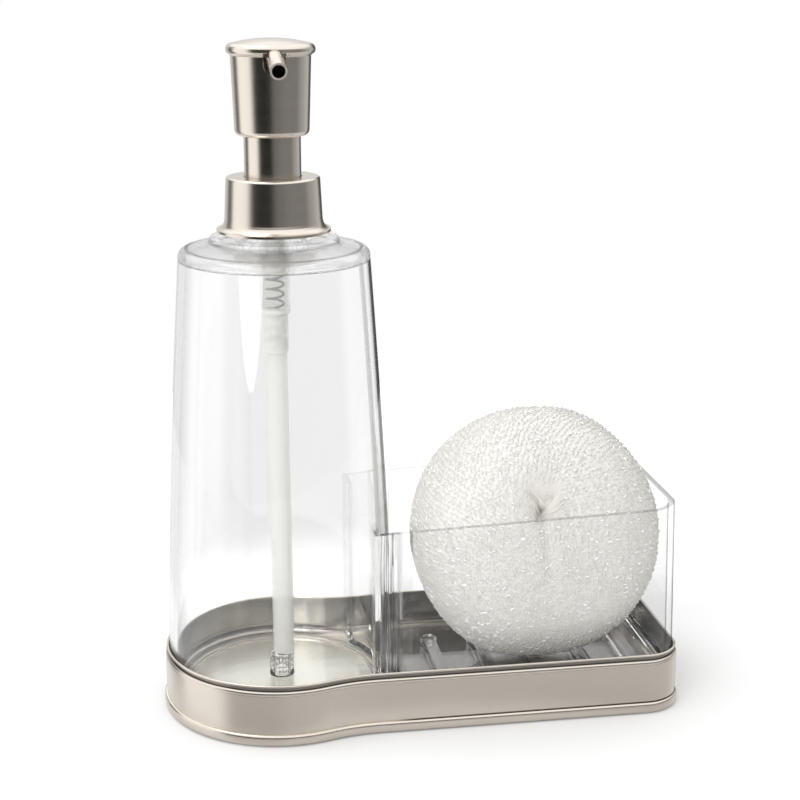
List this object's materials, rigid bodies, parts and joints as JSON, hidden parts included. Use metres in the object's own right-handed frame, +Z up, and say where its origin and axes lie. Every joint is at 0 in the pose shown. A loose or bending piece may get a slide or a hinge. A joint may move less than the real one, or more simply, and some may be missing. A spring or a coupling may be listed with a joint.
{
  "type": "soap pump caddy",
  "caption": "Clear soap bottle with a metal press pump, joined to an open clear box with a mesh scrubber, on a metal tray.",
  "frame": {"origin": "Middle of the footprint's bounding box, on the surface that the rubber feet stand on.", "axes": "+X runs from the bottle to the far end of the box, +Y to the back, +Z up. The nozzle points to the front, -Y."},
  "size_m": [0.1764, 0.0816, 0.225],
  "materials": {
    "satin_nickel": "brushed warm nickel, satin",
    "clear_plastic": "clear rigid moulding, glossy",
    "white_plastic": "smooth moulded polypropylene",
    "milky_plastic": "translucent white polyethylene",
    "seal_rubber": "smooth soft seal",
    "foot_rubber": "matt soft foot",
    "bright_steel": "plain stainless wire and balls",
    "mesh_nylon": "white nylon netting"
  },
  "bodies": {
    "base": {"base_tray": "satin_nickel", "rubber_feet": "foot_rubber", "bottle_shell": "clear_plastic", "bottle_shoulder": "clear_plastic", "caddy_box": "clear_plastic"},
    "pump_body": {"neck_gasket": "seal_rubber", "pump_sleeve": "satin_nickel", "sleeve_guide": "white_plastic", "pump_housing": "milky_plastic", "dip_tube": "milky_plastic", "pump_spring": "bright_steel"},
    "collar": {"collar_shell": "satin_nickel", "collar_nut": "white_plastic"},
    "inlet_valve": {"inlet_ball": "bright_steel"},
    "stem": {"piston_stem": "white_plastic", "piston_seal": "seal_rubber"},
    "outlet_valve": {"outlet_ball": "bright_steel"},
    "head": {"head_shell": "satin_nickel", "head_cap": "satin_nickel", "head_core": "white_plastic", "nozzle_tube": "satin_nickel", "nozzle_block": "satin_nickel"},
    "scrubber": {"scrubber": "mesh_nylon", "scrubber_tie": "mesh_nylon"}
  },
  "joints": [
    {"name": "pump_rise", "type": "slide", "parent": "base", "child": "pump_body", "axis": [0, 0, 1], "range_m": [0, 0.0053]},
    {"name": "collar_turn", "type": "hinge", "parent": "pump_body", "child": "collar", "pos_m": [-0.0474, 0, 0.17], "axis": [0, 0, 1], "range_deg": [0, 450]},
    {"name": "pump_press", "type": "slide", "parent": "pump_body", "child": "stem", "axis": [0, 0, -1], "range_m": [0, 0.0125], "stiffness_N_per_m": 400, "springref_m": -0.008, "deforming": ["pump_spring"]},
    {"name": "head_swivel", "type": "hinge", "parent": "stem", "child": "head", "pos_m": [-0.0474, 0, 0.21], "axis": [0, 0, 1], "continuous": true},
    {"name": "inlet_ball_lift", "type": "slide", "parent": "pump_body", "child": "inlet_valve", "axis": [0, 0, 1], "range_m": [0, 0.0012]},
    {"name": "outlet_ball_lift", "type": "slide", "parent": "stem", "child": "outlet_valve", "axis": [0, 0, 1], "range_m": [0, 0.0012]},
    {"name": "scrubber_lift", "type": "slide", "parent": "base", "child": "scrubber", "axis": [0, 0, 1], "range_m": [0, 0.09]}
  ],
  "couplings": [
    {"joint": "pump_rise", "follows": "collar_turn", "m_per_rad": 0.00067323}
  ]
}
